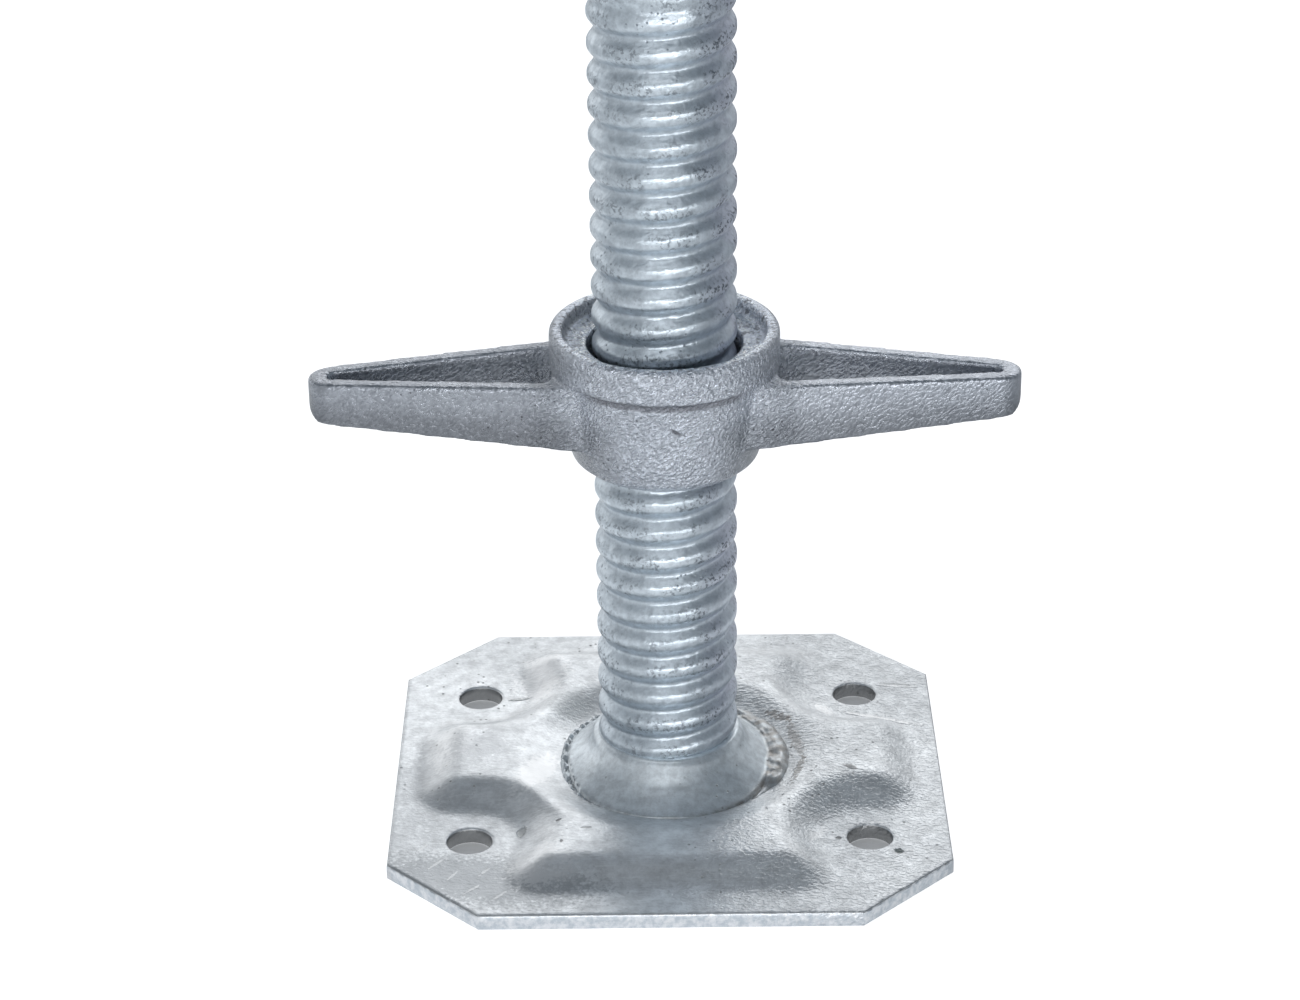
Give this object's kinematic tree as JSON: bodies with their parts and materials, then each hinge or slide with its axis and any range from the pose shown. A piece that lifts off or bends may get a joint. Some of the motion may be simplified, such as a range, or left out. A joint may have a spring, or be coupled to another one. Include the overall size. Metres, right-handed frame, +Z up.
{
  "type": "scaffold base jack",
  "caption": "Scaffold base jack: clipped pressed steel foot plate, hollow rope-threaded spindle and a cast cup nut with two open handles that runs along it.",
  "frame": {"origin": "middle of the foot plate's underside, on the ground", "axes": "+Z up along the spindle; X along the nut's two handles as delivered, Y across them"},
  "size_m": [0.187, 0.15, 0.4],
  "materials": {
    "plate_zinc": "hot-dip galvanised pressed sheet, pale, mottled and scratched",
    "weld_zinc": "galvanised weld, smooth flare with a rough spattered bead",
    "spindle_zinc": "bluish galvanised rolled thread, shiny on the crests with dark pits",
    "cast_nut": "galvanised casting with a pebbled skin"
  },
  "bodies": {
    "base": {"base_plate": "plate_zinc", "foot_weld": "weld_zinc", "threaded_spindle": "spindle_zinc"},
    "nut": {"wing_nut": "cast_nut"}
  },
  "joints": [
    {"name": "nut_travel", "type": "slide", "parent": "base", "child": "nut", "axis": [0, 0, 1], "range_m": [-0.07425, 0.07425]}
  ]
}
